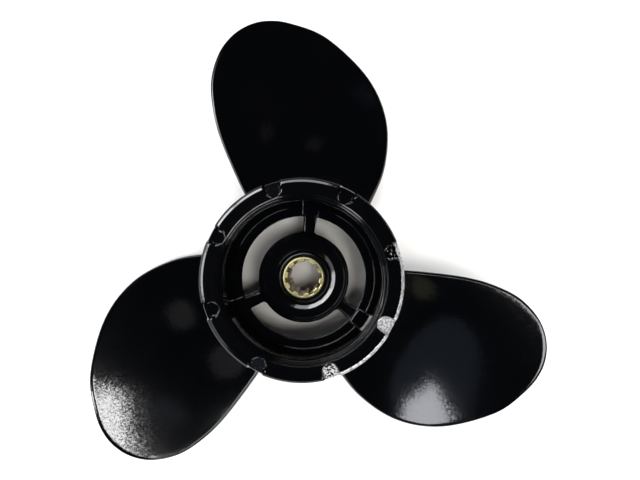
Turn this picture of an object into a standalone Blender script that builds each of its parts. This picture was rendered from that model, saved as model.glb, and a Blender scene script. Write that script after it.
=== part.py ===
"""Three-bladed outboard motor propeller whose exhaust leaves through the hub.

Metres, +Z up. Z is the shaft's axis and +Z points aft. The origin is the middle of the barrel's front rim,
on which the propeller stands. Angles run anticlockwise seen from aft, and the first blade is near +Y.
It turns clockwise seen from aft, so each blade's leading edge is its clockwise, forward edge.
"""
import math

import bmesh
import bpy
from mathutils import Matrix, Vector

# Blades, as cast in one with the barrel
BLADES = 3
TIP_RADIUS = 0.130
PITCH = 0.305
RAKE = 0.05
FACE_MIDDLE = (0.090, math.radians(90), 0.0474)
ROOT_THICKNESS = 0.0090
TIP_THICKNESS = 0.0036
EDGE_THICKNESS = 0.0016
ROOT_FLARE = 0.0035
FLARE_REACH = 0.007
BLADE_ROWS = 14
BLADE_COLUMNS = 12

# Half outlines of the first blade, as radius and angle in degrees, each from its root to the shared tip
LEADING_EDGE = ((0.0388, 42.8), (0.0530, 47.0), (0.0730, 53.4), (0.0930, 61.9), (0.1088, 72.0),
                (0.1225, 84.1), (0.1286, 92.4), (TIP_RADIUS, 98.2))
TRAILING_EDGE = ((0.0388, 124.9), (0.0550, 123.1), (0.0803, 120.0), (0.0974, 117.0), (0.1097, 113.8),
                 (0.1205, 109.2), (0.1278, 103.9), (TIP_RADIUS, 98.2))

# Barrel, an open tube whose bore is narrowest at its throat and whose aft end is a thick notched flange
BARREL_LENGTH = 0.100
BARREL_RADIUS = 0.041
FRONT_BORE_RADIUS = 0.037
THROAT_RADIUS = 0.0313
THROAT_Z = 0.062
LEDGE_RADIUS = 0.0345
LEDGE_Z = 0.068
FLANGE_RADIUS = 0.0473
FLANGE_Z = 0.088
FLANGE_FLAT = (0.0407, 0.0456)
FLANGE_STEP = 0.0392
FLANGE_STEP_DROP = 0.0016
FLANGE_BORE_RADIUS = 0.0380
SHOULDER = 0.0024
RIM_CHAMFER = 0.0008
TURNED_SEGMENTS = 72

# Half-round pockets in the flange's aft edge, whose floors slope outwards
POCKETS = 8
POCKET_ANGLE = math.radians(17.5)
POCKET_RADIUS = 0.0040
POCKET_CENTRE = 0.0437
POCKET_FLOOR_DEPTH = 0.0022
POCKET_SLOPE = math.radians(32)

# Inner hub, carried by ribs across the exhaust passage, with a web at its aft end that stops the bush
HUB_FRONT_Z = 0.012
HUB_AFT_Z = 0.061
HUB_FRONT_RADIUS = 0.0232
HUB_AFT_RADIUS = 0.0226
HUB_BORE_RADIUS = 0.0185
HUB_EDGE = 0.0015
WEB_THICKNESS = 0.005
WEB_HOLE_RADIUS = 0.0154
RIBS = 3
RIB_ANGLE = math.radians(84)
RIB_THICKNESS_IN = 0.0056
RIB_THICKNESS_OUT = 0.0068
RIB_FRONT_Z = 0.016
RIB_AFT_Z = 0.060
RIB_SINK = 0.0015

# Rubber bush pressed into the hub, and the splined sleeve bonded into the bush
SEAT_GAP = 0.0003
BUSH_FRONT_Z = 0.015
BUSH_NOSE_RADIUS = 0.0131
BUSH_NOSE_Z = 0.0590
BUSH_SHOULDER_Z = 0.0572
SLEEVE_FRONT_Z = 0.008
SLEEVE_AFT_Z = 0.0615
SLEEVE_RADIUS = 0.01035
SPLINE_GROOVES = 10
SPLINE_ANGLE = math.radians(8)
SPLINE_MINOR_RADIUS = 0.00785
SPLINE_MAJOR_RADIUS = 0.0091
SPLINE_HALF_GROOVE = math.radians(7.5)
SPLINE_HALF_MOUTH = math.radians(9.5)


def make_material(name, colour, roughness, metallic):
    material = bpy.data.materials.new(name)
    material.use_nodes = True
    shader = material.node_tree.nodes["Principled BSDF"]
    shader.inputs["Base Color"].default_value = (*colour, 1.0)
    shader.inputs["Roughness"].default_value = roughness
    shader.inputs["Metallic"].default_value = metallic
    return material


def make_object(name, mesh_builder, material, sharp_angle=35):
    mesh = bpy.data.meshes.new(name)
    bmesh.ops.recalc_face_normals(mesh_builder, faces=mesh_builder.faces)
    mesh_builder.to_mesh(mesh)
    mesh_builder.free()
    mesh.materials.append(material)
    mesh.shade_smooth()
    mesh.set_sharp_from_angle(angle=math.radians(sharp_angle))
    piece = bpy.data.objects.new(name, mesh)
    bpy.context.collection.objects.link(piece)
    return piece


def make_tool(name, mesh_builder, material):
    """A shape that only a Boolean uses."""
    tool = make_object(name, mesh_builder, material)
    tool.hide_render = True
    tool.display_type = "WIRE"
    return tool


def combine(target, tool, operation):
    modifier = target.modifiers.new(tool.name, "BOOLEAN")
    modifier.operation = operation
    modifier.object = tool


def polar(radius, angle, z):
    return Vector((radius * math.cos(angle), radius * math.sin(angle), z))


def add_loop_faces(builder, first, second):
    """Quads between two closed loops with the same number of vertices."""
    count = len(first)
    for i in range(count):
        j = (i + 1) % count
        builder.faces.new((first[i], first[j], second[j], second[i]))


def turned(section, segments=TURNED_SEGMENTS):
    """A ring whose closed section is a list of radius and z, turned about Z."""
    builder = bmesh.new()
    loops = []
    for radius, z in section:
        angles = [2 * math.pi * i / segments for i in range(segments)]
        loops.append([builder.verts.new(polar(radius, angle, z)) for angle in angles])
    for first, second in zip(loops, loops[1:] + loops[:1]):
        add_loop_faces(builder, first, second)
    return builder


def arc(centre, radius, start, end, steps):
    """Points of an arc in a section, with angles in degrees from the radial direction."""
    points = []
    for i in range(steps + 1):
        angle = math.radians(start + (end - start) * i / steps)
        points.append((centre[0] + radius * math.cos(angle), centre[1] + radius * math.sin(angle)))
    return points


def smooth_path(knots, count):
    """Evenly spread points of a curve that runs through every knot, given as radius and degrees."""
    points = [polar(radius, math.radians(degrees), 0) for radius, degrees in knots]
    points = [2 * points[0] - points[1]] + points + [2 * points[-1] - points[-2]]
    dense = []
    steps = 24
    for a, b, c, d in zip(points, points[1:], points[2:], points[3:]):
        for i in range(steps):
            t = i / steps
            dense.append(0.5 * (2 * b + (c - a) * t + (2 * a - 5 * b + 4 * c - d) * t ** 2
                                + (3 * b - a - 3 * c + d) * t ** 3))
    dense.append(points[-2])
    lengths = [0.0]
    for a, b in zip(dense, dense[1:]):
        lengths.append(lengths[-1] + (b - a).length)
    path = []
    k = 0
    for i in range(count):
        wanted = lengths[-1] * i / (count - 1)
        while k < len(dense) - 2 and lengths[k + 1] < wanted:
            k += 1
        share = (wanted - lengths[k]) / (lengths[k + 1] - lengths[k])
        path.append(dense[k].lerp(dense[k + 1], share))
    return path


def face_point(radius, angle):
    """The blade's aft face, a helix of constant pitch that leans aft towards the tip."""
    middle_radius, middle_angle, middle_z = FACE_MIDDLE
    z = middle_z + PITCH * (angle - middle_angle) / (2 * math.pi) + RAKE * (radius - middle_radius)
    return polar(radius, angle, z)


def face_normal(radius, angle):
    along_radius = Vector((math.cos(angle), math.sin(angle), RAKE))
    along_angle = Vector((-radius * math.sin(angle), radius * math.cos(angle), PITCH / (2 * math.pi)))
    return along_radius.cross(along_angle).normalized()


def blade_thickness(radius, share):
    """Thickness at a radius and at a share of the way from the leading to the trailing edge."""
    outward = (TIP_RADIUS - radius) / (TIP_RADIUS - BARREL_RADIUS)
    thickest = TIP_THICKNESS + (ROOT_THICKNESS - TIP_THICKNESS) * max(outward, 0) ** 1.2
    return EDGE_THICKNESS + (thickest - EDGE_THICKNESS) * math.sin(math.pi * share) ** 0.8


def root_flare(radius):
    """How far the blade's surfaces swell where they run into the barrel."""
    share = (BARREL_RADIUS + FLARE_REACH - radius) / FLARE_REACH
    return ROOT_FLARE * min(max(share, 0), 1) ** 2


def blade_rows():
    """Rows of aft and forward surface points, from the root to one point at the tip."""
    leading = smooth_path(LEADING_EDGE, BLADE_ROWS + 1)
    trailing = smooth_path(TRAILING_EDGE, BLADE_ROWS + 1)
    rows = []
    for lead, trail in zip(leading, trailing):
        aft = []
        forward = []
        for column in range(BLADE_COLUMNS + 1):
            share = column / BLADE_COLUMNS
            radius = lead.length * (1 - share) + trail.length * share
            lead_angle = math.atan2(lead.y, lead.x)
            angle = lead_angle + (math.atan2(trail.y, trail.x) - lead_angle) * share
            normal = face_normal(radius, angle)
            flare = root_flare(radius)
            aft.append(face_point(radius, angle) + normal * flare)
            forward.append(face_point(radius, angle) - normal * (blade_thickness(radius, share) + flare))
        rows.append((aft, forward))
    return rows


def add_blade(builder, turn):
    rotation = Matrix.Rotation(turn, 4, "Z")
    rows = blade_rows()
    loops = []
    for aft, forward in rows[:-1]:
        loops.append([builder.verts.new(rotation @ point) for point in aft + forward[::-1]])
    for first, second in zip(loops, loops[1:]):
        add_loop_faces(builder, first, second)
    tip_aft = builder.verts.new(rotation @ rows[-1][0][0])
    tip_forward = builder.verts.new(rotation @ rows[-1][1][0])
    last = loops[-1]
    count = BLADE_COLUMNS + 1
    for i in range(BLADE_COLUMNS):
        builder.faces.new((last[i], last[i + 1], tip_aft))
        builder.faces.new((last[count + i], last[count + i + 1], tip_forward))
    builder.faces.new((last[BLADE_COLUMNS], last[count], tip_forward, tip_aft))
    builder.faces.new((last[-1], last[0], tip_aft, tip_forward))
    root = loops[0]
    for i in range(BLADE_COLUMNS):
        builder.faces.new((root[i], root[i + 1], root[-2 - i], root[-1 - i]))


def blades():
    builder = bmesh.new()
    for blade in range(BLADES):
        add_blade(builder, 2 * math.pi * blade / BLADES)
    return builder


def barrel():
    flat_in, flat_out = FLANGE_FLAT
    shoulder_centre = (FLANGE_RADIUS - SHOULDER, BARREL_LENGTH - SHOULDER)
    flare_reach = FLANGE_RADIUS - BARREL_RADIUS
    flare_centre = (BARREL_RADIUS + flare_reach, FLANGE_Z - flare_reach)
    outside = [(FRONT_BORE_RADIUS, 0.0),
               (BARREL_RADIUS - RIM_CHAMFER, 0.0),
               (BARREL_RADIUS, RIM_CHAMFER),
               (BARREL_RADIUS, FLANGE_Z / 2)]
    outside += arc(flare_centre, flare_reach, 180, 90, 5)
    outside += arc(shoulder_centre, SHOULDER, 0, 90, 3)
    step_z = BARREL_LENGTH - FLANGE_STEP_DROP
    aft_end = [(flat_in, BARREL_LENGTH),
               (FLANGE_STEP, BARREL_LENGTH - FLANGE_STEP_DROP / 2),
               (FLANGE_STEP, step_z),
               (FLANGE_BORE_RADIUS + RIM_CHAMFER, step_z),
               (FLANGE_BORE_RADIUS, step_z - RIM_CHAMFER)]
    bore = [(LEDGE_RADIUS, LEDGE_Z),
            (THROAT_RADIUS, THROAT_Z)]
    return turned(outside + aft_end + bore)


def inner_hub():
    web_z = HUB_AFT_Z - WEB_THICKNESS
    section = [(HUB_BORE_RADIUS, HUB_FRONT_Z),
               (HUB_FRONT_RADIUS, HUB_FRONT_Z),
               (HUB_AFT_RADIUS, HUB_AFT_Z - HUB_EDGE),
               (HUB_AFT_RADIUS - HUB_EDGE, HUB_AFT_Z),
               (WEB_HOLE_RADIUS, HUB_AFT_Z),
               (WEB_HOLE_RADIUS, web_z),
               (HUB_BORE_RADIUS, web_z)]
    return turned(section)


def ribs():
    """Radial plates, each sunk a little into the hub and into the barrel."""
    builder = bmesh.new()
    inner = HUB_AFT_RADIUS - RIB_SINK
    outer = THROAT_RADIUS + RIB_SINK
    outer_front = FRONT_BORE_RADIUS + (THROAT_RADIUS - FRONT_BORE_RADIUS) * RIB_FRONT_Z / THROAT_Z + RIB_SINK
    for rib in range(RIBS):
        rotation = Matrix.Rotation(RIB_ANGLE + 2 * math.pi * rib / RIBS, 4, "Z")
        corners = []
        for z, reach in ((RIB_FRONT_Z, outer_front), (RIB_AFT_Z, outer)):
            half_in = RIB_THICKNESS_IN / 2
            half_out = RIB_THICKNESS_OUT / 2
            ring = ((inner, -half_in, z), (reach, -half_out, z), (reach, half_out, z), (inner, half_in, z))
            corners.append([builder.verts.new(rotation @ Vector(corner)) for corner in ring])
        add_loop_faces(builder, corners[0], corners[1])
        builder.faces.new(corners[0])
        builder.faces.new(corners[1])
    return builder


def pockets():
    """Cutters for the flange's pockets: half-round at the inner end, open outwards, tilted outwards."""
    builder = bmesh.new()
    reach = FLANGE_RADIUS - POCKET_CENTRE + POCKET_RADIUS
    outline = arc((0, 0), POCKET_RADIUS, 90, 270, 8)
    outline += [(reach, -POCKET_RADIUS), (reach, POCKET_RADIUS)]
    drop = math.tan(POCKET_SLOPE)
    for pocket in range(POCKETS):
        rotation = Matrix.Rotation(POCKET_ANGLE + 2 * math.pi * pocket / POCKETS, 4, "Z")
        floor = []
        roof = []
        roof_z = BARREL_LENGTH + POCKET_RADIUS
        for x, y in outline:
            floor_z = BARREL_LENGTH - POCKET_FLOOR_DEPTH - drop * x
            floor.append(builder.verts.new(rotation @ Vector((POCKET_CENTRE + x, y, floor_z))))
            roof.append(builder.verts.new(rotation @ Vector((POCKET_CENTRE + x, y, roof_z))))
        add_loop_faces(builder, floor, roof)
        builder.faces.new(floor)
        builder.faces.new(roof)
    return builder


def make_casting(paint):
    casting = make_object("propeller_casting", barrel(), paint)
    combine(casting, make_tool("inner_hub_shape", inner_hub(), paint), "UNION")
    combine(casting, make_tool("rib_shapes", ribs(), paint), "UNION")
    combine(casting, make_tool("blade_shapes", blades(), paint), "UNION")
    combine(casting, make_tool("pocket_cutters", pockets(), paint), "DIFFERENCE")
    return casting


def make_bush(rubber):
    outer = HUB_BORE_RADIUS - SEAT_GAP
    inner = SLEEVE_RADIUS + SEAT_GAP
    stop_z = HUB_AFT_Z - WEB_THICKNESS - SEAT_GAP
    neck = WEB_HOLE_RADIUS - SEAT_GAP
    section = [(inner, BUSH_FRONT_Z),
               (outer, BUSH_FRONT_Z),
               (outer, stop_z),
               (neck, stop_z),
               (neck, BUSH_SHOULDER_Z),
               (BUSH_NOSE_RADIUS, BUSH_SHOULDER_Z),
               (BUSH_NOSE_RADIUS, BUSH_NOSE_Z),
               (inner, BUSH_NOSE_Z)]
    return make_object("rubber_bush", turned(section), rubber)


def spline_outline():
    """Radius and angle round the sleeve's bore: flat-topped teeth between the shaft's grooves."""
    outline = []
    for groove in range(SPLINE_GROOVES):
        middle = SPLINE_ANGLE + 2 * math.pi * groove / SPLINE_GROOVES
        land = middle - math.pi / SPLINE_GROOVES
        outline += [(SPLINE_MINOR_RADIUS, land),
                    (SPLINE_MINOR_RADIUS, middle - SPLINE_HALF_MOUTH),
                    (SPLINE_MAJOR_RADIUS, middle - SPLINE_HALF_GROOVE),
                    (SPLINE_MAJOR_RADIUS, middle),
                    (SPLINE_MAJOR_RADIUS, middle + SPLINE_HALF_GROOVE),
                    (SPLINE_MINOR_RADIUS, middle + SPLINE_HALF_MOUTH)]
    return outline


def make_sleeve(brass):
    builder = bmesh.new()
    loops = []
    outline = spline_outline()
    for z in (SLEEVE_FRONT_Z, SLEEVE_AFT_Z):
        outside = [builder.verts.new(polar(SLEEVE_RADIUS, angle, z)) for _, angle in outline]
        inside = [builder.verts.new(polar(radius, angle, z)) for radius, angle in outline]
        loops.append((outside, inside))
    (front_out, front_in), (aft_out, aft_in) = loops
    add_loop_faces(builder, front_out, aft_out)
    add_loop_faces(builder, aft_out, aft_in)
    add_loop_faces(builder, aft_in, front_in)
    add_loop_faces(builder, front_in, front_out)
    return make_object("splined_sleeve", builder, brass, sharp_angle=20)


def main():
    for old in list(bpy.data.objects):
        bpy.data.objects.remove(old, do_unlink=True)
    make_casting(make_material("black_gloss_paint", (0.008, 0.008, 0.010), 0.16, 0.0))
    make_bush(make_material("black_rubber", (0.015, 0.015, 0.016), 0.6, 0.0))
    make_sleeve(make_material("brass", (0.78, 0.60, 0.24), 0.32, 1.0))


main()
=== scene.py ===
"""Looks of a three-bladed outboard motor propeller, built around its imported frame.

Metres. Z is the shaft's axis and +Z points aft, towards the camera; the propeller stands on its front rim.
Angles run anticlockwise seen from aft, and the first blade is near +Y. A section is the closed outline of a
turned form, given as the radius, z and rounding of each of its corners.
"""
import math

import bmesh
import bpy
from mathutils import Matrix, Vector


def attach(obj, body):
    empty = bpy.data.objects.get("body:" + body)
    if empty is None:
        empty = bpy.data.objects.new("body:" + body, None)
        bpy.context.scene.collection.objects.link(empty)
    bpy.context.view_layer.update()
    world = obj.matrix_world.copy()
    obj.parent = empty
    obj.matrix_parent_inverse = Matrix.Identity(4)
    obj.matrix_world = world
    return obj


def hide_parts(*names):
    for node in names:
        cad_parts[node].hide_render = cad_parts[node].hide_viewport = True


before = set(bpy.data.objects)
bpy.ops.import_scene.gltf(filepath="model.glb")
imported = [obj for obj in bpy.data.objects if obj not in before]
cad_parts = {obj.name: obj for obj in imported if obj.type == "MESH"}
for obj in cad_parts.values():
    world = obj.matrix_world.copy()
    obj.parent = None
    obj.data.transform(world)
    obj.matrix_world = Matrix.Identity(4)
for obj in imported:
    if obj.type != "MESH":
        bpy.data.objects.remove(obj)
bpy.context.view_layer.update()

MM = 0.001

# The photograph's camera
CAMERA_PLACE = (12.58 * MM, 19.72 * MM, 565.08 * MM)
CAMERA_TURN = (math.radians(-2.686), math.radians(-0.103), 0.0)
CAMERA_LENS = 56.615
CAMERA_SHIFT = (-0.0166, 0.0712)

# Blades. The middle of the aft face is given as radius, angle and z
BLADES = 3
TIP_RADIUS = 129.9 * MM
PITCH = 305 * MM
RAKE = 0.05
FACE_MIDDLE = (90 * MM, math.radians(90), 47.4 * MM)
ROOT_THICKNESS = 9.0 * MM
TIP_THICKNESS = 3.6 * MM
EDGE_THICKNESS = 1.8 * MM
ROOT_FILLET = 4.5 * MM
FRONT_GAP = 0.5 * MM
FRONT_BLEND = 2.5 * MM

# How far the edge's rounding reaches inwards, and over which columns past the tip it changes
LEADING_RUN = 2.3 * MM
TRAILING_RUN = 0.9 * MM
RUN_CHANGE = (6, 18)

# The blade's edges seen from aft: radius in mm and angle in degrees
LEADING_EDGE = ((38.8, 42.8), (53.0, 47.0), (73.0, 53.4), (93.0, 61.9), (108.8, 72.0),
                (122.5, 84.1), (128.1, 92.4), (129.9, 98.2))
TRAILING_EDGE = ((38.8, 124.9), (55.0, 123.1), (80.3, 120.0), (97.4, 117.0), (109.7, 113.8),
                 (120.5, 109.2), (127.4, 103.9), (129.9, 98.2))

# The blade's mesh: rows close together at the root, and the spine that its columns run to
ROOT_RADII = [radius * MM for radius in (38.8, 40.2, 41.0, 41.1, 41.3, 41.6, 42.0, 42.6, 43.4, 44.4, 45.6)]
BLADE_ROWS = 44
CURVE_STEPS = 40
EDGE_STEPS = 8
FACE_STEPS = 14
SPINE_END = 117 * MM

# Barrel and flange
BARREL_LENGTH = 100 * MM
BARREL_RADIUS = 41 * MM
FRONT_BORE_RADIUS = 37 * MM
FLANGE_RADIUS = 47.7 * MM
FLANGE_Z = 88 * MM
BEVEL_DEPTH = 1.15 * MM
BEVEL_ROUNDING = 0.15 * MM
MOUTH_RADIUS = 38.3 * MM
MOUTH_Z = BARREL_LENGTH - 1.65 * MM
BORE_FOOT_RADIUS = 35.5 * MM
THROAT_RADIUS = 30.9 * MM
THROAT_Z = 62 * MM
BARREL_SECTION = ((FRONT_BORE_RADIUS, 0, 0.6 * MM),
                  (BARREL_RADIUS, 0, 0.8 * MM),
                  (BARREL_RADIUS, FLANGE_Z, 5.4 * MM),
                  (FLANGE_RADIUS, FLANGE_Z, 0.8 * MM),
                  (FLANGE_RADIUS, BARREL_LENGTH - BEVEL_DEPTH, BEVEL_ROUNDING),
                  (FLANGE_RADIUS - 0.9 * MM, BARREL_LENGTH - 0.26 * MM, 0.1 * MM),
                  (FLANGE_RADIUS - 1.9 * MM, BARREL_LENGTH, 0.3 * MM),
                  (MOUTH_RADIUS + 1.8 * MM, BARREL_LENGTH, 0.2 * MM),
                  (MOUTH_RADIUS + 1.4 * MM, BARREL_LENGTH - 0.25 * MM, 0.2 * MM),
                  (MOUTH_RADIUS + 0.6 * MM, BARREL_LENGTH - 0.3 * MM, 0.1 * MM),
                  (MOUTH_RADIUS + 0.2 * MM, BARREL_LENGTH - 0.55 * MM, 0.1 * MM),
                  (MOUTH_RADIUS, MOUTH_Z, 0.1 * MM),
                  (MOUTH_RADIUS - 0.9 * MM, MOUTH_Z, 0.3 * MM),
                  (BORE_FOOT_RADIUS, THROAT_Z, 0.3 * MM),
                  (THROAT_RADIUS - 0.15 * MM, THROAT_Z, 0.3 * MM))

# Pockets round the flange: half round, open outwards, with a floor that falls away outwards
POCKETS = 8
POCKET_ANGLE = math.radians(17.5)
POCKET_RADIUS = 4.0 * MM
POCKET_CENTRE = 43.7 * MM
POCKET_REACH = POCKET_CENTRE - POCKET_RADIUS - 0.4 * MM
POCKET_FLOOR_DEPTH = 2.2 * MM
POCKET_SLOPE = math.tan(math.radians(32))
POCKET_WALL_RUN = 0.8 * MM
POCKET_WALL_RISE = 3.5
POCKET_LIP = 0.6 * MM
POCKET_BLEND = 0.5 * MM
POCKET_SPAN = math.radians(6.6)

# Inner hub, with a web across its aft end that has a hole for the bush
HUB_FRONT_Z = 12 * MM
HUB_AFT_Z = 61 * MM
HUB_FRONT_RADIUS = 23.2 * MM
HUB_AFT_RADIUS = 22.6 * MM
HUB_BORE_RADIUS = 18.5 * MM
WEB_FRONT_Z = 56 * MM
WEB_HOLE_RADIUS = 15.4 * MM
WEB_LIP_RADIUS = 13.8 * MM
HUB_SECTION = ((HUB_BORE_RADIUS, HUB_FRONT_Z, 0.5 * MM),
               (HUB_FRONT_RADIUS, HUB_FRONT_Z, 1.2 * MM),
               (HUB_AFT_RADIUS, HUB_AFT_Z - 0.2 * MM, 1.4 * MM),
               (HUB_AFT_RADIUS - 2.0 * MM, HUB_AFT_Z - 0.2 * MM, 0.2 * MM),
               (HUB_AFT_RADIUS - 2.5 * MM, HUB_AFT_Z, 0.3 * MM),
               (WEB_LIP_RADIUS + 2.0 * MM, HUB_AFT_Z, 0.5 * MM),
               (WEB_LIP_RADIUS, HUB_AFT_Z - 0.58 * MM, 0.25 * MM),
               (WEB_LIP_RADIUS, HUB_AFT_Z - 1.4 * MM, 0.3 * MM),
               (WEB_HOLE_RADIUS, HUB_AFT_Z - 2.4 * MM, 0.3 * MM),
               (WEB_HOLE_RADIUS, WEB_FRONT_Z, 0.4 * MM),
               (HUB_BORE_RADIUS, WEB_FRONT_Z, 0.4 * MM))

# Ribs from the hub to the barrel
RIBS = 3
RIB_ANGLE = math.radians(84)
RIB_INNER_RADIUS = HUB_AFT_RADIUS - 1.0 * MM
RIB_OUTER_RADIUS = THROAT_RADIUS + 1.2 * MM
RIB_WIDTH_IN = 5.6 * MM
RIB_WIDTH_OUT = 6.8 * MM
RIB_FRONT_Z = 16 * MM
RIB_AFT_Z = 60 * MM
RIB_ROUNDING = 1.2 * MM
RIB_FLARE = 1.2 * MM
RIB_LEAN = 0.09
RIB_STATIONS = 24

# Pads over the ribs' outer ends. The top is given as radius and rise, and a side as inset and drop, in mm
PAD_WIDTH = 8.8 * MM
PAD_Z = 65.3 * MM
PAD_INNER_RADIUS = 30.9 * MM
PAD_ROUNDING = 0.9 * MM
PAD_DEPTH = 5 * MM
PAD_STEPS = 6
PAD_TOP = ((32.2, 0), (32.3, 0.01), (33.1, 0.21), (33.2, 0.22), (36.8, 0.22))
PAD_SIDE = ((0, 1.0), (0, 0.35), (0.3, 0.1), (0.9, 0))

# Brass sleeve. The spline's flanks and columns are given in degrees from the middle of a groove
SLEEVE_FRONT_Z = 8 * MM
SLEEVE_AFT_Z = 61.5 * MM
SLEEVE_RADIUS = 10.35 * MM
SLEEVE_CHAMFER = 0.35 * MM
SPLINE_GROOVES = 10
SPLINE_ANGLE = math.radians(8)
SPLINE_MINOR_RADIUS = 7.85 * MM
SPLINE_MAJOR_RADIUS = 9.1 * MM
SPLINE_FLANK = (7.3, 9.7)
SPLINE_STEPS = (3.5, 6, 7, 7.5, 8, 8.5, 9, 9.5, 10, 11, 14)
SLEEVE_STRETCHES = 12

# Rubber bush, with a small gap to the hub and to the sleeve
SEAT_GAP = 0.3 * MM
BUSH_FRONT_Z = 15 * MM
BUSH_STEP_Z = 57.2 * MM
BUSH_AFT_Z = 59 * MM
BUSH_COLLAR_RADIUS = 12.75 * MM
BUSH_SECTION = ((SLEEVE_RADIUS + SEAT_GAP, BUSH_FRONT_Z, 0.2 * MM),
                (HUB_BORE_RADIUS - SEAT_GAP, BUSH_FRONT_Z, 0.5 * MM),
                (HUB_BORE_RADIUS - SEAT_GAP, WEB_FRONT_Z - SEAT_GAP, 0.2 * MM),
                (WEB_HOLE_RADIUS - SEAT_GAP, WEB_FRONT_Z - SEAT_GAP, 0.1 * MM),
                (WEB_HOLE_RADIUS - SEAT_GAP, BUSH_STEP_Z, 0.3 * MM),
                (BUSH_COLLAR_RADIUS, BUSH_STEP_Z, 0.3 * MM),
                (BUSH_COLLAR_RADIUS, BUSH_AFT_Z - 0.25 * MM, 0.2 * MM),
                (BUSH_COLLAR_RADIUS - 0.85 * MM, BUSH_AFT_Z, 0.3 * MM),
                (SLEEVE_RADIUS + SEAT_GAP, BUSH_AFT_Z, 0.25 * MM))

# Spacing of the turned meshes, which is fine on the flange's aft end
ROUNDING_STEPS = 5
TURNED_COLUMNS = 144
POCKET_COLUMNS = 28
LAND_COLUMNS = 14
FINE_SPACING = 0.3 * MM
FLANGE_SPACING = 1.2 * MM
BUSH_SPACING = 3 * MM
WALL_SPACING = 4 * MM
FINE_RADIUS = 39 * MM
FINE_Z = BARREL_LENGTH - 2.5 * MM

# Paint worn to bare metal on the lower-right shoulder and in four pockets. It is laid on the side where the
# light falls, so the pale metal is partly wear and partly a painted highlight: angles in degrees, the radii
# and heights between which it fades in, and how bare each pocket is
WORN_AND_HIGHLIT_SHOULDER = (-72, 22)
WORN_AND_HIGHLIT_SHOULDER_FADE = 3
WORN_AND_HIGHLIT_SHOULDER_RADII = (45.4 * MM, 46.9 * MM)
WORN_AND_HIGHLIT_SHOULDER_HEIGHTS = (94 * MM, 96 * MM)
WORN_AND_HIGHLIT_POCKETS = ((332.5, 1.0), (287.5, 0.58), (17.5, 0.47), (242.5, 0.4))
WORN_AND_HIGHLIT_POCKET_WALL = (-0.6 * MM, 0.2 * MM)
WORN_AND_HIGHLIT_POCKET_HEIGHTS = (93 * MM, 95 * MM)

# Smooth wall of the bore, with the ledge at its foot
BORE_WALL_RADII = (30.5 * MM, 37.8 * MM)
BORE_WALL_Z = THROAT_Z - 1 * MM

# Colours, the darker of each pair first
PAINT_COLOURS = ((0.0004, 0.0005, 0.0007), (0.0010, 0.0010, 0.0013))
# Bare metal: worn paint, and on the lower-right flange also a painted highlight
BARE_METAL_AND_HIGHLIGHT_COLOURS = ((0.18, 0.18, 0.19), (0.60, 0.60, 0.61))
RUBBER_COLOURS = ((0.0006, 0.0006, 0.0008), (0.002, 0.002, 0.0024))
BRASS_COLOURS = ((0.33, 0.29, 0.12), (0.50, 0.46, 0.25))
BRASS_BORE_COLOUR = (0.62, 0.50, 0.36)
FLOOR_COLOURS = ((0.86, 0.86, 0.86), (0.9, 0.9, 0.9))
WORLD_COLOUR = (0.008, 0.011, 0.016, 1)

# Lamps high over the ground in the passages: name, azimuth, elevation, radiance and colour
GROUND_FILLS = (("left_fill", 222, 83, 30, (1, 0.98, 0.94)),
                ("right_fill", 333, 83, 84, (1, 0.96, 0.88)),
                ("middle_fill", 268, 82.5, 12, (1, 0.97, 0.9)))

# Azimuth and radiance of the softboxes high on the left
UPPER_PANELS = ((90, 6), (120, 15), (150, 17), (180, 12), (210, 2))

# Dim panels that stand for the room: azimuth, elevation, width, height, radiance and colour
ROOM_PANELS = ((116, 20, 0.35, 0.3, 0.18, (1, 1, 1)),
               (145, 9, 0.5, 0.5, 0.16, (1, 0.97, 1)),
               (150, 36, 0.25, 0.14, 0.16, (0.7, 0.85, 1)),
               (270, 9, 0.3, 0.3, 0.2, (0.95, 1, 0.6)),
               (243, 26, 1.0, 0.7, 0.17, (0.6, 0.75, 1)),
               (20, 26, 0.15, 0.15, 0.07, (1, 0.8, 1)),
               (0, 20, 0.2, 0.15, 0.08, (0.9, 0.9, 1)),
               (348, 39, 0.25, 0.15, 0.06, (0.6, 0.8, 1)))

# The point that the lamps face, the floor, and the angle from which an edge is shaded sharp
LAMPS_AIM = Vector((0, 0, 60 * MM))
FLOOR_RADIUS = 6
SHARP_ANGLE = math.radians(38)


def polar(radius, angle, z):
    return Vector((radius * math.cos(angle), radius * math.sin(angle), z))


def clamp(value, low=0.0, high=1.0):
    return min(max(value, low), high)


def smooth_step(low, high, value):
    share = clamp((value - low) / (high - low))
    return share * share * (3 - 2 * share)


def smooth_min(first, second, blend):
    """The smaller of two heights, with their crossing rounded off."""
    nearness = max(blend - abs(first - second), 0) / blend
    return min(first, second) - nearness * nearness * blend / 4


def rounded(section):
    """The outline of a closed section with its corners rounded off."""
    outline = []
    for i, (radius, z, rounding) in enumerate(section):
        corner = Vector((radius, z))
        before = (Vector(section[i - 1][:2]) - corner).normalized()
        after = (Vector(section[(i + 1) % len(section)][:2]) - corner).normalized()
        half = before.angle(after) / 2
        centre = corner + (before + after).normalized() * rounding / math.sin(half)
        start = corner + before * rounding / math.tan(half) - centre
        end = corner + after * rounding / math.tan(half) - centre
        turn = math.atan2(start.x * end.y - start.y * end.x, start.dot(end))
        for step in range(ROUNDING_STEPS + 1):
            angle = math.atan2(start.y, start.x) + turn * step / ROUNDING_STEPS
            outline.append(centre + Vector((math.cos(angle), math.sin(angle))) * rounding)
    return outline


def spread(outline, spacing_at):
    """The same closed outline with more points on its long stretches."""
    points = []
    for here, after in zip(outline, outline[1:] + outline[:1]):
        count = max(1, math.ceil((after - here).length / spacing_at(here.lerp(after, 0.5))))
        points += [here.lerp(after, i / count) for i in range(count)]
    return points


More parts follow.
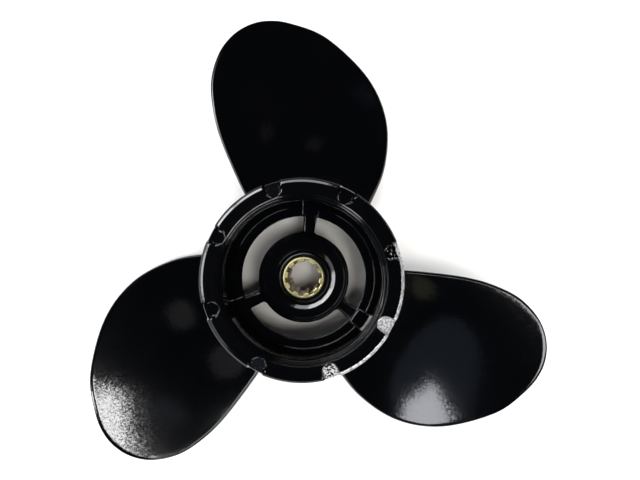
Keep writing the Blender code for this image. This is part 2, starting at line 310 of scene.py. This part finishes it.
def mesh_object(name, vertices, faces):
    mesh = bpy.data.meshes.new(name)
    mesh.from_pydata(vertices, [], faces)
    builder = bmesh.new()
    builder.from_mesh(mesh)
    bmesh.ops.recalc_face_normals(builder, faces=builder.faces)
    builder.to_mesh(mesh)
    builder.free()
    piece = bpy.data.objects.new(name, mesh)
    bpy.context.collection.objects.link(piece)
    return piece


def ring_object(name, rows):
    """A closed ring whose rows, the last beside the first, all have the same number of points."""
    count = len(rows[0])
    faces = []
    for row in range(len(rows)):
        here = row * count
        after = (row + 1) % len(rows) * count
        for i in range(count):
            j = (i + 1) % count
            faces.append((here + i, here + j, after + j, after + i))
    return mesh_object(name, [point for row in rows for point in row], faces)


def turned_object(name, section, spacing):
    """A form turned about the shaft's axis."""
    angles = [2 * math.pi * i / TURNED_COLUMNS for i in range(TURNED_COLUMNS)]
    outline = spread(rounded(section), lambda point: spacing)
    return ring_object(name, [[polar(point.x, angle, point.y) for angle in angles] for point in outline])


def bar_object(name, loops):
    """A closed bar through loops of points, with flat ends."""
    count = len(loops[0])
    faces = [tuple(range(count)), tuple(range((len(loops) - 1) * count, len(loops) * count))]
    for row in range(len(loops) - 1):
        here = row * count
        for i in range(count):
            j = (i + 1) % count
            faces.append((here + i, here + j, here + count + j, here + count + i))
    return mesh_object(name, [point for loop in loops for point in loop], faces)


def fuse(name, pieces):
    """One closed mesh made of pieces that cut into each other."""
    target = pieces[0]
    for tool in pieces[1:]:
        modifier = target.modifiers.new(tool.name, "BOOLEAN")
        modifier.operation = "UNION"
        modifier.solver = "MANIFOLD"
        modifier.object = tool
    bpy.context.view_layer.update()
    evaluated = target.evaluated_get(bpy.context.evaluated_depsgraph_get())
    mesh = bpy.data.meshes.new_from_object(evaluated)
    mesh.name = name
    for piece in pieces:
        bpy.data.objects.remove(piece, do_unlink=True)
    fused = bpy.data.objects.new(name, mesh)
    bpy.context.collection.objects.link(fused)
    return fused


def face_point(radius, angle):
    """The blade's aft face, a helix of constant pitch that leans aft towards the tip."""
    middle_radius, middle_angle, middle_z = FACE_MIDDLE
    z = middle_z + PITCH * (angle - middle_angle) / (2 * math.pi) + RAKE * (radius - middle_radius)
    return polar(radius, angle, z)


def face_normal(radius, angle):
    along_radius = Vector((math.cos(angle), math.sin(angle), RAKE))
    along_angle = Vector((-radius * math.sin(angle), radius * math.cos(angle), PITCH / (2 * math.pi)))
    return along_radius.cross(along_angle).normalized()


def above_rim(z):
    """A height pressed together towards the front rim, so that the blade's root never passes it."""
    if z > FRONT_BLEND:
        return z
    room = FRONT_BLEND - FRONT_GAP
    return FRONT_GAP + room * math.exp((z - FRONT_BLEND) / room)


def blade_point(place, offset):
    """The point of the blade at a place seen from aft and at a distance from the aft face."""
    radius = place.length
    angle = math.atan2(place.y, place.x)
    point = face_point(radius, angle) + face_normal(radius, angle) * offset
    point.z = above_rim(point.z)
    return point


def blade_thickness(radius, share):
    """Thickness at a radius and at a share of the way from one edge to the other."""
    outward = max((TIP_RADIUS - radius) / (TIP_RADIUS - BARREL_RADIUS), 0)
    thickest = TIP_THICKNESS + (ROOT_THICKNESS - TIP_THICKNESS) * outward ** 1.2
    return EDGE_THICKNESS + (thickest - EDGE_THICKNESS) * math.sin(math.pi * share) ** 0.8


def root_fillet(radius):
    """How far the blade swells near the barrel, so that it meets the barrel in a round fillet."""
    short = clamp(BARREL_RADIUS + ROOT_FILLET - radius, 0, ROOT_FILLET)
    return ROOT_FILLET - math.sqrt(ROOT_FILLET ** 2 - short ** 2)


def smooth_curve(knots):
    """Close points of a curve through knots of radius in mm and degrees. It ends square to its radius."""
    points = [polar(radius * MM, math.radians(degrees), 0) for radius, degrees in knots]
    outward = points[-1].normalized()
    beyond = 2 * outward * outward.dot(points[-2]) - points[-2]
    points = [2 * points[0] - points[1]] + points + [beyond]
    curve = []
    for a, b, c, d in zip(points, points[1:], points[2:], points[3:]):
        for i in range(CURVE_STEPS):
            t = i / CURVE_STEPS
            curve.append(0.5 * (2 * b + (c - a) * t + (2 * a - 5 * b + 4 * c - d) * t ** 2
                                + (3 * b - a - 3 * c + d) * t ** 3))
    curve.append(points[-2])
    return curve


def points_at(curve, radii):
    """The curve's points at rising radii."""
    found = []
    k = 0
    for radius in radii:
        while k < len(curve) - 2 and curve[k + 1].length < radius:
            k += 1
        near = curve[k].length
        far = curve[k + 1].length
        found.append(curve[k].lerp(curve[k + 1], clamp((radius - near) / max(far - near, 1e-9))))
    return found


def blade_plan():
    """The blade's edge seen from aft, from root to tip to root, and the spine midway between its sides."""
    span = TIP_RADIUS - ROOT_RADII[-1]
    radii = ROOT_RADII + [TIP_RADIUS - span * (1 - row / BLADE_ROWS) ** 2 for row in range(1, BLADE_ROWS + 1)]
    leading = points_at(smooth_curve(LEADING_EDGE), radii)
    trailing = points_at(smooth_curve(TRAILING_EDGE), radii)
    spine = []
    for lead, trail in zip(leading, trailing):
        if lead.length <= SPINE_END:
            middle = (math.atan2(lead.y, lead.x) + math.atan2(trail.y, trail.x)) / 2
            spine.append(polar(lead.length, middle, 0))
    return leading + trailing[-2::-1], spine


def inward_at(edge, i, middle):
    """The direction square to the edge that points to the blade's middle."""
    along = edge[min(i + 1, len(edge) - 1)] - edge[max(i - 1, 0)]
    inward = Vector((along.y, -along.x, 0)).normalized()
    return -inward if inward.dot(middle - edge[i]) < 0 else inward


def blade_columns(place, inward, run, end):
    """The rim at a place on the edge, then the points from it to the spine on the aft and the forward face.

    Each is a place seen from aft and a distance from the aft face.
    """
    half_edge = EDGE_THICKNESS / 2
    fillet = root_fillet(place.length)
    rim = place - inward * fillet
    run += fillet
    inner = rim + inward * run
    reach = (end - inner).length
    aft = []
    forward = []
    for step in range(1, EDGE_STEPS + 1):
        angle = math.pi / 2 * step / EDGE_STEPS
        here = rim + inward * run * (1 - math.cos(angle))
        share = 0.5 * (here - rim).length / (reach + run)
        deep = blade_thickness(here.length, share) + fillet - half_edge
        aft.append((here, -half_edge + (half_edge + fillet) * math.sin(angle)))
        forward.append((here, -half_edge - deep * math.sin(angle)))
    for step in range(1, FACE_STEPS):
        here = inner.lerp(end, step / FACE_STEPS)
        share = 0.5 * (run + reach * step / FACE_STEPS) / (reach + run)
        swollen = root_fillet(here.length)
        aft.append((here, swollen))
        forward.append((here, -blade_thickness(here.length, share) - swollen))
    return (rim, -half_edge), aft, forward


def blade_faces(rims, afts, forwards):
    """Faces between the neighbouring columns of each side, and the two ends at the root."""
    faces = []
    for side in (afts, forwards):
        columns = [[rim] + column for rim, column in zip(rims, side)]
        for near, far in zip(columns, columns[1:]):
            for k in range(len(near) - 1):
                face = (near[k], far[k], far[k + 1], near[k + 1])
                faces.append(face if far[k + 1] != near[k + 1] else face[:3])
    for i in (0, -1):
        faces.append((rims[i], afts[i][0], forwards[i][0]))
        for k in range(len(afts[i]) - 1):
            faces.append((afts[i][k], afts[i][k + 1], forwards[i][k + 1], forwards[i][k]))
    return faces


def blade_object(name, turn):
    """A blade as two faces that share a rounded edge. Its columns run inwards from the edge to the spine."""
    edge, spine = blade_plan()
    last = len(edge) - 1
    points = []
    for place in spine:
        fillet = root_fillet(place.length)
        points += [(place, fillet), (place, -blade_thickness(place.length, 0.5) - fillet)]
    rims = []
    sides = ([], [])
    for i, place in enumerate(edge):
        end = min(i, last - i, len(spine) - 1)
        inward = inward_at(edge, i, spine[len(spine) // 2])
        past_tip = smooth_step(*RUN_CHANGE, i - last // 2)
        run = LEADING_RUN + (TRAILING_RUN - LEADING_RUN) * past_tip
        rim, *columns = blade_columns(place, inward, run, spine[end])
        rims.append(len(points))
        points.append(rim)
        for k, column in enumerate(columns):
            sides[k].append([*range(len(points), len(points) + len(column)), 2 * end + k])
            points += column
    rotation = Matrix.Rotation(turn, 4, "Z")
    vertices = [rotation @ blade_point(*point) for point in points]
    return mesh_object(name, vertices, blade_faces(rims, *sides))


def outside_pocket(radius, offset):
    """Distance from a pocket's wall, negative inside, at a radius and an angle from the pocket's middle."""
    inwards = min(radius * math.cos(offset) - POCKET_CENTRE, 0)
    return math.hypot(inwards, radius * math.sin(offset)) - POCKET_RADIUS


def pocket_height(radius, angle):
    """Height of the nearest pocket's sloping floor, or of its wall, at a place on the flange's aft end."""
    pitch = 2 * math.pi / POCKETS
    offset = (angle - POCKET_ANGLE + pitch / 2) % pitch - pitch / 2
    floor = BARREL_LENGTH - POCKET_FLOOR_DEPTH - POCKET_SLOPE * (radius * math.cos(offset) - POCKET_CENTRE)
    wall = POCKET_WALL_RISE * max(outside_pocket(radius, offset) + POCKET_WALL_RUN, 0)
    past_lip = clamp(radius - FLANGE_RADIUS + POCKET_LIP, 0, POCKET_LIP)
    return floor + wall - POCKET_LIP + math.sqrt(POCKET_LIP ** 2 - past_lip ** 2)


def flange_point(point, angle):
    """A point of the barrel's section at an angle, lowered where a pocket is cut."""
    radius = point.x
    z = point.y
    foot = FLANGE_Z + 1 * MM
    top = BARREL_LENGTH - BEVEL_DEPTH - BEVEL_ROUNDING
    if radius > FLANGE_RADIUS - 1e-6 and foot < z < top:
        edge = smooth_min(top, pocket_height(FLANGE_RADIUS, angle), POCKET_BLEND)
        z = foot + (z - foot) * (edge - foot) / (top - foot)
    elif z >= top and radius > POCKET_REACH:
        z = smooth_min(z, pocket_height(radius, angle), POCKET_BLEND)
    return polar(radius, angle, z)


def flange_angles():
    """Column angles, close together across each pocket and wider between them."""
    angles = []
    pitch = 2 * math.pi / POCKETS
    land = pitch - 2 * POCKET_SPAN
    for pocket in range(POCKETS):
        middle = POCKET_ANGLE + pitch * pocket
        angles += [middle - POCKET_SPAN + 2 * POCKET_SPAN * i / POCKET_COLUMNS for i in range(POCKET_COLUMNS)]
        angles += [middle + POCKET_SPAN + land * i / LAND_COLUMNS for i in range(LAND_COLUMNS)]
    return angles


def barrel_spacing(point):
    if point.y > FINE_Z and point.x > FINE_RADIUS:
        return FINE_SPACING
    if point.y > FLANGE_Z and point.x > BARREL_RADIUS:
        return FLANGE_SPACING
    return WALL_SPACING


def barrel_object():
    angles = flange_angles()
    outline = spread(rounded(BARREL_SECTION), barrel_spacing)
    return ring_object("barrel", [[flange_point(point, angle) for angle in angles] for point in outline])


def rib_half_width(radius, share):
    """Half the rib's width, which flares where the rib meets the hub and the barrel."""
    near = clamp(HUB_AFT_RADIUS + RIB_FLARE - radius, 0, RIB_FLARE)
    far = clamp(radius - THROAT_RADIUS + RIB_FLARE, 0, RIB_FLARE)
    flare = 2 * RIB_FLARE - math.sqrt(RIB_FLARE ** 2 - near ** 2) - math.sqrt(RIB_FLARE ** 2 - far ** 2)
    return (RIB_WIDTH_IN + (RIB_WIDTH_OUT - RIB_WIDTH_IN) * share) / 2 + flare


def rib_loop(share):
    """The outline round a rib at a share of its length from the hub. Its front leans outwards."""
    radius = RIB_INNER_RADIUS + (RIB_OUTER_RADIUS - RIB_INNER_RADIUS) * share
    beside = rib_half_width(radius, share) - RIB_ROUNDING
    aft = RIB_AFT_Z - RIB_ROUNDING
    front = RIB_FRONT_Z + RIB_ROUNDING
    loop = []
    for centre_y, centre_z, start in ((beside, aft, 0), (-beside, aft, 90), (-beside, front, 180),
                                      (beside, front, 270)):
        for step in range(ROUNDING_STEPS + 1):
            angle = math.radians(start + 90 * step / ROUNDING_STEPS)
            z = centre_z + RIB_ROUNDING * math.sin(angle)
            lean = RIB_LEAN * (RIB_AFT_Z - z) * share
            loop.append(Vector((radius + lean, centre_y + RIB_ROUNDING * math.cos(angle), z)))
    return loop


def pad_loops():
    """Outlines across a pad on the ledge over a rib's outer end, from its inner end to the bore's wall."""
    profile = []
    for step in range(PAD_STEPS + 1):
        angle = math.radians(180 - 90 * step / PAD_STEPS)
        profile.append((PAD_INNER_RADIUS + PAD_ROUNDING * (1 + math.cos(angle)),
                        PAD_Z - PAD_ROUNDING * (1 - math.sin(angle))))
    profile += [(radius * MM, PAD_Z + rise * MM) for radius, rise in PAD_TOP]
    half = PAD_WIDTH / 2
    foot = THROAT_Z - PAD_DEPTH
    side = [(half - inset * MM, drop * MM) for inset, drop in PAD_SIDE]
    across = [(-y, drop) for y, drop in side] + side[::-1]
    return [[Vector((radius, y, z - drop)) for y, drop in across]
            + [Vector((radius, half, foot)), Vector((radius, -half, foot))] for radius, z in profile]


def spoke_objects(name, loops):
    """The same bar at the angle of each rib."""
    pieces = []
    for rib in range(RIBS):
        rotation = Matrix.Rotation(RIB_ANGLE + 2 * math.pi * rib / RIBS, 4, "Z")
        placed = [[rotation @ point for point in loop] for loop in loops]
        pieces.append(bar_object("%s_%d" % (name, rib), placed))
    return pieces


def wear_and_highlight_at(place):
    """How bare the casting is at a place, from 0 for whole paint to 1 for bare metal. The bare patches lie on
    the lower-right side where the light falls, so they are partly wear and partly a painted highlight.
    """
    radius = place.xy.length
    degrees = math.degrees(math.atan2(place.y, place.x))
    start, end = WORN_AND_HIGHLIT_SHOULDER
    fade = WORN_AND_HIGHLIT_SHOULDER_FADE
    begun = smooth_step(start - fade, start + fade, degrees)
    ended = smooth_step(end - fade, end + fade, degrees)
    outwards = smooth_step(*WORN_AND_HIGHLIT_SHOULDER_RADII, radius)
    wear_and_highlight = begun * (1 - ended) * outwards * smooth_step(*WORN_AND_HIGHLIT_SHOULDER_HEIGHTS, place.z)
    for middle, amount in WORN_AND_HIGHLIT_POCKETS:
        outside = outside_pocket(radius, math.radians(degrees - middle))
        inside = (1 - smooth_step(*WORN_AND_HIGHLIT_POCKET_WALL, outside)) * smooth_step(*WORN_AND_HIGHLIT_POCKET_HEIGHTS, place.z)
        wear_and_highlight = max(wear_and_highlight, amount * inside)
    return wear_and_highlight


def bore_wall_at(place):
    """1 on the bore's wall and the ledge at its foot, and 0 elsewhere."""
    inner, outer = BORE_WALL_RADII
    return float(inner < place.xy.length < outer and place.z > BORE_WALL_Z)


def store_mask(piece, name, value_at):
    """Stores a number for each vertex, which a material reads by its name."""
    attribute = piece.data.attributes.new(name, "FLOAT", "POINT")
    attribute.data.foreach_set("value", [value_at(vertex.co) for vertex in piece.data.vertices])


def casting_object():
    pieces = [barrel_object(), turned_object("inner_hub", HUB_SECTION, WALL_SPACING)]
    pieces += spoke_objects("rib", [rib_loop(station / RIB_STATIONS) for station in range(RIB_STATIONS + 1)])
    pieces += spoke_objects("pad", pad_loops())
    for blade in range(BLADES):
        pieces.append(blade_object("blade_%d" % blade, 2 * math.pi * blade / BLADES))
    casting = fuse("painted_casting", pieces)
    # Mask of worn paint on the lower-right flange, which also paints the highlight there
    store_mask(casting, "wear_and_highlight", wear_and_highlight_at)
    store_mask(casting, "bore_wall", bore_wall_at)
    return casting


def bush_object():
    return turned_object("moulded_bush", BUSH_SECTION, BUSH_SPACING)


def spline_radius(degrees):
    """Radius of the bore at an angle from the middle of a groove, with the corners rounded."""
    into = 1 - smooth_step(*SPLINE_FLANK, abs(degrees))
    return SPLINE_MINOR_RADIUS + (SPLINE_MAJOR_RADIUS - SPLINE_MINOR_RADIUS) * into


def sleeve_object():
    """The sleeve in rows of points: up its outside, across its aft end, and down its splined bore."""
    aft = SLEEVE_AFT_Z
    front = SLEEVE_FRONT_Z
    chamfer = SLEEVE_CHAMFER
    offsets = [-180 / SPLINE_GROOVES] + [-step for step in reversed(SPLINE_STEPS)] + [0] + list(SPLINE_STEPS)
    columns = [(SPLINE_ANGLE + math.radians(360 / SPLINE_GROOVES * groove + offset), spline_radius(offset))
               for groove in range(SPLINE_GROOVES) for offset in offsets]
    outside = [(chamfer, front), (0, front + chamfer), (0, aft - chamfer),
               (0.3 * chamfer, aft - 0.3 * chamfer), (chamfer, aft), (1.3 * chamfer, aft)]
    inside = [(0.4 * MM, aft), (0.3 * MM, aft), (0.1 * MM, aft - 0.08 * MM), (0, aft - 0.3 * MM)]
    inside += [(0, aft + (front - aft) * i / SLEEVE_STRETCHES) for i in range(1, SLEEVE_STRETCHES)]
    inside += [(0, front + 0.3 * MM), (0.3 * MM, front)]
    rows = [[polar(SLEEVE_RADIUS - inset, angle, z) for angle, bore in columns] for inset, z in outside]
    rows += [[polar(bore + inset, angle, z) for angle, bore in columns] for inset, z in inside]
    return ring_object("brass_sleeve", rows)


def add_node(tree, kind, links=(), **settings):
    """A shader node with settings, whose inputs are set or linked by name or number."""
    node = tree.nodes.new(kind)
    for name, value in settings.items():
        setattr(node, name, value)
    for name, value in dict(links).items():
        if isinstance(value, bpy.types.NodeSocket):
            tree.links.new(value, node.inputs[name])
        else:
            node.inputs[name].default_value = value
    return node


def noise(tree, place, scale, detail=2.0, roughness=0.5):
    links = {"Vector": place, "Scale": scale, "Detail": detail, "Roughness": roughness}
    return add_node(tree, "ShaderNodeTexNoise", links).outputs["Fac"]


def mask(tree, name):
    return add_node(tree, "ShaderNodeAttribute", attribute_name=name).outputs["Fac"]


def ramp(tree, value, low, high, start=0.0, end=1.0):
    """A smooth change from start to end as the value goes from low to high."""
    links = {"Value": value, "From Min": low, "From Max": high, "To Min": start, "To Max": end}
    node = add_node(tree, "ShaderNodeMapRange", links, interpolation_type="SMOOTHSTEP")
    return node.outputs["Result"]


def math_node(tree, operation, first, second=0.5):
    return add_node(tree, "ShaderNodeMath", {0: first, 1: second}, operation=operation).outputs["Value"]


def vector_node(tree, operation, first, second=(0, 0, 0)):
    return add_node(tree, "ShaderNodeVectorMath", {0: first, 1: second}, operation=operation).outputs[0]


def mix_colour(tree, share, first, second):
    node = add_node(tree, "ShaderNodeMix", {"Factor": share}, data_type="RGBA")
    for socket, value in ((node.inputs[6], first), (node.inputs[7], second)):
        if isinstance(value, bpy.types.NodeSocket):
            tree.links.new(value, socket)
        else:
            socket.default_value = (*value, 1.0)
    return node.outputs[2]


def mix_number(tree, share, first, second):
    return add_node(tree, "ShaderNodeMix", {0: share, 2: first, 3: second}).outputs[0]


def bump(tree, height, distance, normal=None):
    links = {"Height": height, "Distance": distance}
    if normal is not None:
        links["Normal"] = normal
    return add_node(tree, "ShaderNodeBump", links).outputs["Normal"]


def new_material(name):
    material = bpy.data.materials.new(name)
    material.use_nodes = True
    tree = material.node_tree
    place = add_node(tree, "ShaderNodeTexCoord").outputs["Object"]
    return material, tree, tree.nodes["Principled BSDF"], place


def paint_material():
    """Black gloss paint on a slightly wavy casting: grained, smooth in the bore, and worn off the flange. On
    the lower-right side of the flange the pale bare metal also paints the highlight.
    """
    material, tree, shader, place = new_material("black_gloss_paint_looks")
    ragged = noise(tree, place, 900, 3.0, 0.6)
    # Bare metal where the paint is worn off; on the lower-right flange its pale colour also paints the
    # highlight
    worn_and_highlit = math_node(tree, "ADD", mask(tree, "wear_and_highlight"), math_node(tree, "MULTIPLY", ragged, 0.8))
    bare_and_highlit = ramp(tree, worn_and_highlit, 0.95, 1.02)
    broad = noise(tree, place, 38, 1.0)
    peel = noise(tree, place, 260, 1.0)
    grain = noise(tree, place, 1500, 2.0)
    cells = add_node(tree, "ShaderNodeTexVoronoi", {"Vector": place, "Scale": 1900}).outputs["Color"]
    waves = bump(tree, broad, 0.12 * MM)
    skin = bump(tree, peel, 0.008 * MM, normal=waves)
    either_way = vector_node(tree, "SUBTRACT", cells, (0.5, 0.5, 0.5))
    tilt = vector_node(tree, "MULTIPLY", either_way, (0.027, 0.027, 0.027))
    fine = vector_node(tree, "NORMALIZE", vector_node(tree, "ADD", skin, tilt))
    paint = mix_colour(tree, broad, *PAINT_COLOURS)
    metal_and_highlight = mix_colour(tree, ramp(tree, ragged, 0.38, 0.62), *BARE_METAL_AND_HIGHLIGHT_COLOURS)
    gloss = mix_number(tree, mask(tree, "bore_wall"), ramp(tree, grain, 0.3, 0.7, 0.08, 0.13), 0.05)
    tree.links.new(mix_colour(tree, bare_and_highlit, paint, metal_and_highlight), shader.inputs["Base Color"])
    tree.links.new(math_node(tree, "MULTIPLY", bare_and_highlit, 0.6), shader.inputs["Metallic"])
    tree.links.new(mix_number(tree, bare_and_highlit, gloss, 0.45), shader.inputs["Roughness"])
    tree.links.new(fine, shader.inputs["Normal"])
    return material


def rubber_material():
    material, tree, shader, place = new_material("black_rubber_looks")
    mould = noise(tree, place, 500, 2.0)
    tree.links.new(mix_colour(tree, mould, *RUBBER_COLOURS), shader.inputs["Base Color"])
    tree.links.new(ramp(tree, mould, 0.3, 0.7, 0.12, 0.18), shader.inputs["Roughness"])
    shader.inputs["Specular IOR Level"].default_value = 0.45
    tree.links.new(bump(tree, mould, 0.008 * MM), shader.inputs["Normal"])
    return material


def brass_material():
    """Machined brass with faint turning marks and a duller, browner bore."""
    material, tree, shader, place = new_material("brass_looks")
    axes = add_node(tree, "ShaderNodeSeparateXYZ", {0: place})
    squares = math_node(tree, "ADD", math_node(tree, "MULTIPLY", axes.outputs["X"], axes.outputs["X"]),
                        math_node(tree, "MULTIPLY", axes.outputs["Y"], axes.outputs["Y"]))
    radius = math_node(tree, "SQRT", squares)
    marks = noise(tree, add_node(tree, "ShaderNodeCombineXYZ", {0: radius}).outputs[0], 6000, 1.0)
    stain = noise(tree, place, 320, 3.0)
    end_face = ramp(tree, axes.outputs["Z"], 59.5 * MM, 61.2 * MM)
    colour = mix_colour(tree, end_face, BRASS_BORE_COLOUR, mix_colour(tree, stain, *BRASS_COLOURS))
    tree.links.new(colour, shader.inputs["Base Color"])
    shader.inputs["Metallic"].default_value = 1.0
    tree.links.new(ramp(tree, stain, 0.3, 0.7, 0.36, 0.46), shader.inputs["Roughness"])
    tree.links.new(bump(tree, marks, 0.004 * MM), shader.inputs["Normal"])
    return material


def floor_material():
    material, tree, shader, place = new_material("pale_floor")
    tone = noise(tree, place, 3.0)
    tree.links.new(mix_colour(tree, tone, *FLOOR_COLOURS), shader.inputs["Base Color"])
    shader.inputs["Roughness"].default_value = 0.9
    shader.inputs["Specular IOR Level"].default_value = 0.1
    return material


def finish_piece(piece, material, node):
    piece.data.materials.clear()
    piece.data.materials.append(material)
    piece.data.shade_smooth()
    piece.data.set_sharp_from_angle(angle=SHARP_ANGLE)
    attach(piece, "root")
    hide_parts(node)


def softbox(name, azimuth, elevation, distance, width, height, radiance, colour=(1, 1, 1), turn=0,
            shape="RECTANGLE", mirrored=True, lighting=True):
    """A lamp that faces the hub from a direction in degrees.

    Unless it is mirrored it only lights, and unless it is lighting it shows only as a reflection.
    """
    light = bpy.data.lights.new(name, "AREA")
    light.shape = shape
    light.size = width
    light.size_y = height
    light.energy = radiance * math.pi * width * height
    light.color = colour
    lamp = bpy.data.objects.new(name, light)
    bpy.context.collection.objects.link(lamp)
    flat = math.radians(elevation)
    towards = polar(math.cos(flat), math.radians(azimuth), math.sin(flat))
    lamp.location = LAMPS_AIM + towards * distance
    facing = towards.to_track_quat("Z", "Y").to_matrix()
    lamp.rotation_euler = (facing @ Matrix.Rotation(math.radians(turn), 3, "Z")).to_euler()
    lamp.visible_glossy = mirrored
    lamp.visible_diffuse = lighting


def add_lights():
    for i in range(6):
        softbox("floor_fill_%d" % i, 60 * i + 30, 58, 1.5, 0.6, 0.4, 9.5, mirrored=False)
    for i, (azimuth, radiance) in enumerate(UPPER_PANELS):
        softbox("upper_panel_%d" % i, azimuth, 58, 1.2, 0.33, 0.3, radiance, lighting=False)
    for i, azimuth in enumerate((293, 316)):
        softbox("lower_panel_%d" % i, azimuth, 40, 1.2, 0.36, 0.3, 10, lighting=False)
    for name, azimuth, elevation, radiance, colour in GROUND_FILLS:
        softbox(name, azimuth, elevation, 1.3, 0.15, 0.15, radiance, colour, mirrored=False)
    softbox("key_softbox", 154.6, 46.6, 1.24, 0.44, 0.062, 28, turn=12)
    softbox("edge_softbox", 170.4, 22, 1.28, 0.1, 0.38, 26, turn=30, lighting=False)
    softbox("side_softbox", 234.3, 34, 1.2, 0.25, 0.25, 10, (0.93, 0.94, 1.0))
    for i, (azimuth, elevation, width, height, radiance, colour) in enumerate(ROOM_PANELS):
        softbox("room_panel_%d" % i, azimuth, elevation, 1.6, width, height, radiance, colour,
                shape="ELLIPSE", lighting=False)


def add_floor():
    builder = bmesh.new()
    bmesh.ops.create_circle(builder, cap_ends=True, radius=FLOOR_RADIUS, segments=96)
    mesh = bpy.data.meshes.new("floor")
    builder.to_mesh(mesh)
    builder.free()
    mesh.materials.append(floor_material())
    floor = bpy.data.objects.new("floor", mesh)
    bpy.context.collection.objects.link(floor)


def add_world():
    world = bpy.data.worlds.new("studio")
    world.use_nodes = True
    world.node_tree.nodes["Background"].inputs["Color"].default_value = WORLD_COLOUR
    bpy.context.scene.world = world


def add_camera():
    data = bpy.data.cameras.new("camera")
    data.lens = CAMERA_LENS
    data.shift_x, data.shift_y = CAMERA_SHIFT
    data.clip_start = 0.01
    camera = bpy.data.objects.new("camera", data)
    camera.location = CAMERA_PLACE
    camera.rotation_euler = CAMERA_TURN
    bpy.context.collection.objects.link(camera)
    bpy.context.scene.camera = camera
    bpy.context.scene.view_settings.view_transform = "Standard"


finish_piece(casting_object(), paint_material(), "propeller_casting")
finish_piece(bush_object(), rubber_material(), "rubber_bush")
finish_piece(sleeve_object(), brass_material(), "splined_sleeve")
add_floor()
add_world()
add_lights()
add_camera()
